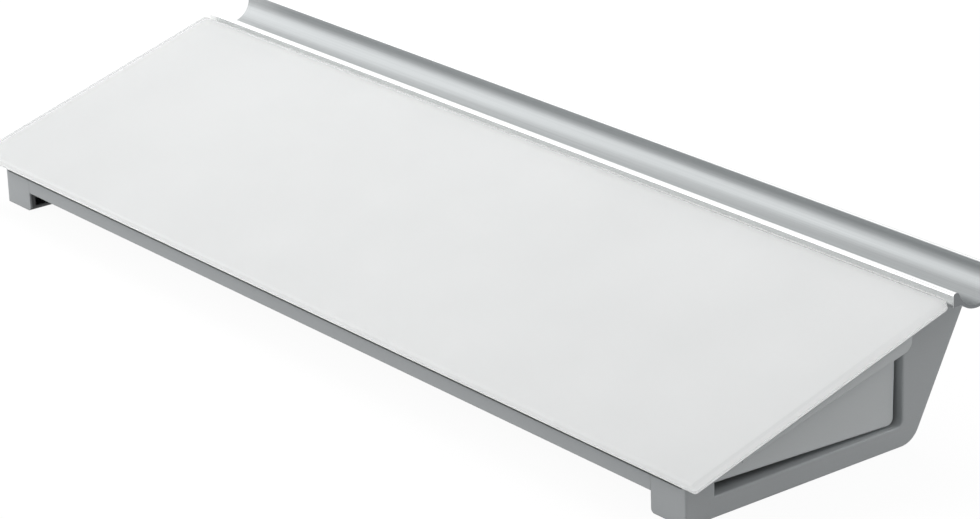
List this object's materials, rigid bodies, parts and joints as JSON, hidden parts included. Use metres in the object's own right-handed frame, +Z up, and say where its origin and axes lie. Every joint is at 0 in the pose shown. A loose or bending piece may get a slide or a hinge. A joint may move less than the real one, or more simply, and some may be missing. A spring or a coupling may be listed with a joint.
{
  "type": "glass memo board",
  "caption": "Low wedge-shaped desk memo board: a sloping white glass writing panel over a silver body, with a half-round pen tray behind it and a drawer that slides out of one end.",
  "frame": {"origin": "on the desk, under the middle of the overall box", "axes": "+X along the board to the drawer's end, +Y from the front edge to the pen tray, +Z up"},
  "size_m": [0.458, 0.141, 0.0617],
  "materials": {
    "clear_glass": "polished",
    "white_coat": "smooth paint",
    "foam_tape": "foam",
    "silver_plastic": "satin silver paint",
    "tray_aluminium": "satin anodised",
    "dark_plastic": "matte",
    "drawer_plastic": "satin",
    "screw_steel": "zinc plated",
    "pad_rubber": "matte"
  },
  "bodies": {
    "board": {"glass_panel": "clear_glass", "backing_film": "white_coat", "bond_tapes": "foam_tape", "deck_panel": "dark_plastic", "left_end_frame": "silver_plastic", "right_end_frame": "silver_plastic", "front_rail": "silver_plastic", "rear_panel": "silver_plastic", "base_plate": "dark_plastic", "centre_rib": "dark_plastic", "front_runner": "dark_plastic", "rear_runner": "dark_plastic", "drawer_stop": "dark_plastic", "tray_profile": "tray_aluminium", "foot_pad_front_left": "pad_rubber", "foot_pad_front_right": "pad_rubber", "foot_pad_rear_left": "pad_rubber", "foot_pad_rear_right": "pad_rubber", "base_screws": "screw_steel", "runner_screws": "screw_steel", "rib_screws": "screw_steel", "stop_screws": "screw_steel", "tray_screws": "screw_steel", "deck_front_screws": "screw_steel", "deck_rear_screws": "screw_steel"},
    "drawer": {"drawer_tray": "drawer_plastic", "drawer_front": "silver_plastic", "drawer_front_screws": "screw_steel"}
  },
  "joints": [
    {"name": "drawer_slide", "type": "slide", "parent": "board", "child": "drawer", "axis": [1, 0, 0], "range_m": [0, 0.21]}
  ]
}
